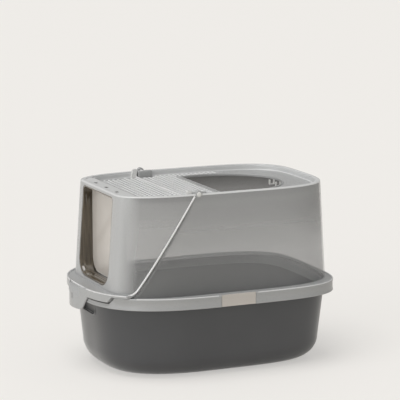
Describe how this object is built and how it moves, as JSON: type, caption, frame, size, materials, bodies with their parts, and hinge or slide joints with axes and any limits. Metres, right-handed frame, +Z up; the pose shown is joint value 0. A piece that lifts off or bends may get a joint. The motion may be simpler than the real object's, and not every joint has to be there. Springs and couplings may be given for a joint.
{
  "type": "top entry litter box",
  "caption": "Large covered cat litter box with a D-shaped roof entry, a flip-up front cover with a swing flap in its doorway, a deep pan and side latches",
  "frame": {"origin": "centre of the box's footprint at floor level", "axes": "+X along the length, from the doorway at the front (-X) to the closed rear (+X), +Y to the far side, +Z up"},
  "size_m": [0.668, 0.476, 0.4715],
  "materials": {
    "pan_grey": "dark grey polypropylene, fine moulded satin",
    "hood_smoke": "smoky translucent light grey polypropylene, soft gloss",
    "cover_smoke": "smoky translucent light grey polypropylene, soft gloss",
    "liner_brown": "dark brown, glossy",
    "flap_clear": "translucent beige grey sheet",
    "latch_clear": "translucent grey, soft gloss",
    "pin_steel": "bright drawn wire",
    "trim_white": "white, soft gloss"
  },
  "bodies": {
    "base": {"litter_pan": "pan_grey", "rear_hood": "hood_smoke", "hinge_pin_near": "trim_white", "hinge_pin_far": "trim_white", "latch_pin_near": "pin_steel", "latch_pin_far": "pin_steel", "scoop_hook_near": "trim_white", "scoop_hook_far": "trim_white"},
    "cover": {"front_cover": "cover_smoke", "door_liner": "liner_brown", "seam_block_near": "trim_white", "seam_block_far": "trim_white"},
    "flap": {"door_flap": "flap_clear"},
    "latch_near": {"side_latch_near": "latch_clear"},
    "latch_far": {"side_latch_far": "latch_clear"}
  },
  "joints": [
    {"name": "cover_flip", "type": "hinge", "parent": "base", "child": "cover", "pos_m": [-0.07, 0, 0.4625], "axis": [0, 1, 0], "range_deg": [0, 110]},
    {"name": "flap_swing", "type": "hinge", "parent": "cover", "child": "flap", "pos_m": [-0.239, 0, 0.456], "axis": [0, 1, 0], "range_deg": [-55, 55]},
    {"name": "latch_near_swing", "type": "hinge", "parent": "base", "child": "latch_near", "pos_m": [0.0185, -0.2335, 0.2108], "axis": [-1, 0, 0], "range_deg": [0, 100]},
    {"name": "latch_far_swing", "type": "hinge", "parent": "base", "child": "latch_far", "pos_m": [0.0185, 0.2335, 0.2108], "axis": [1, 0, 0], "range_deg": [0, 100]}
  ]
}
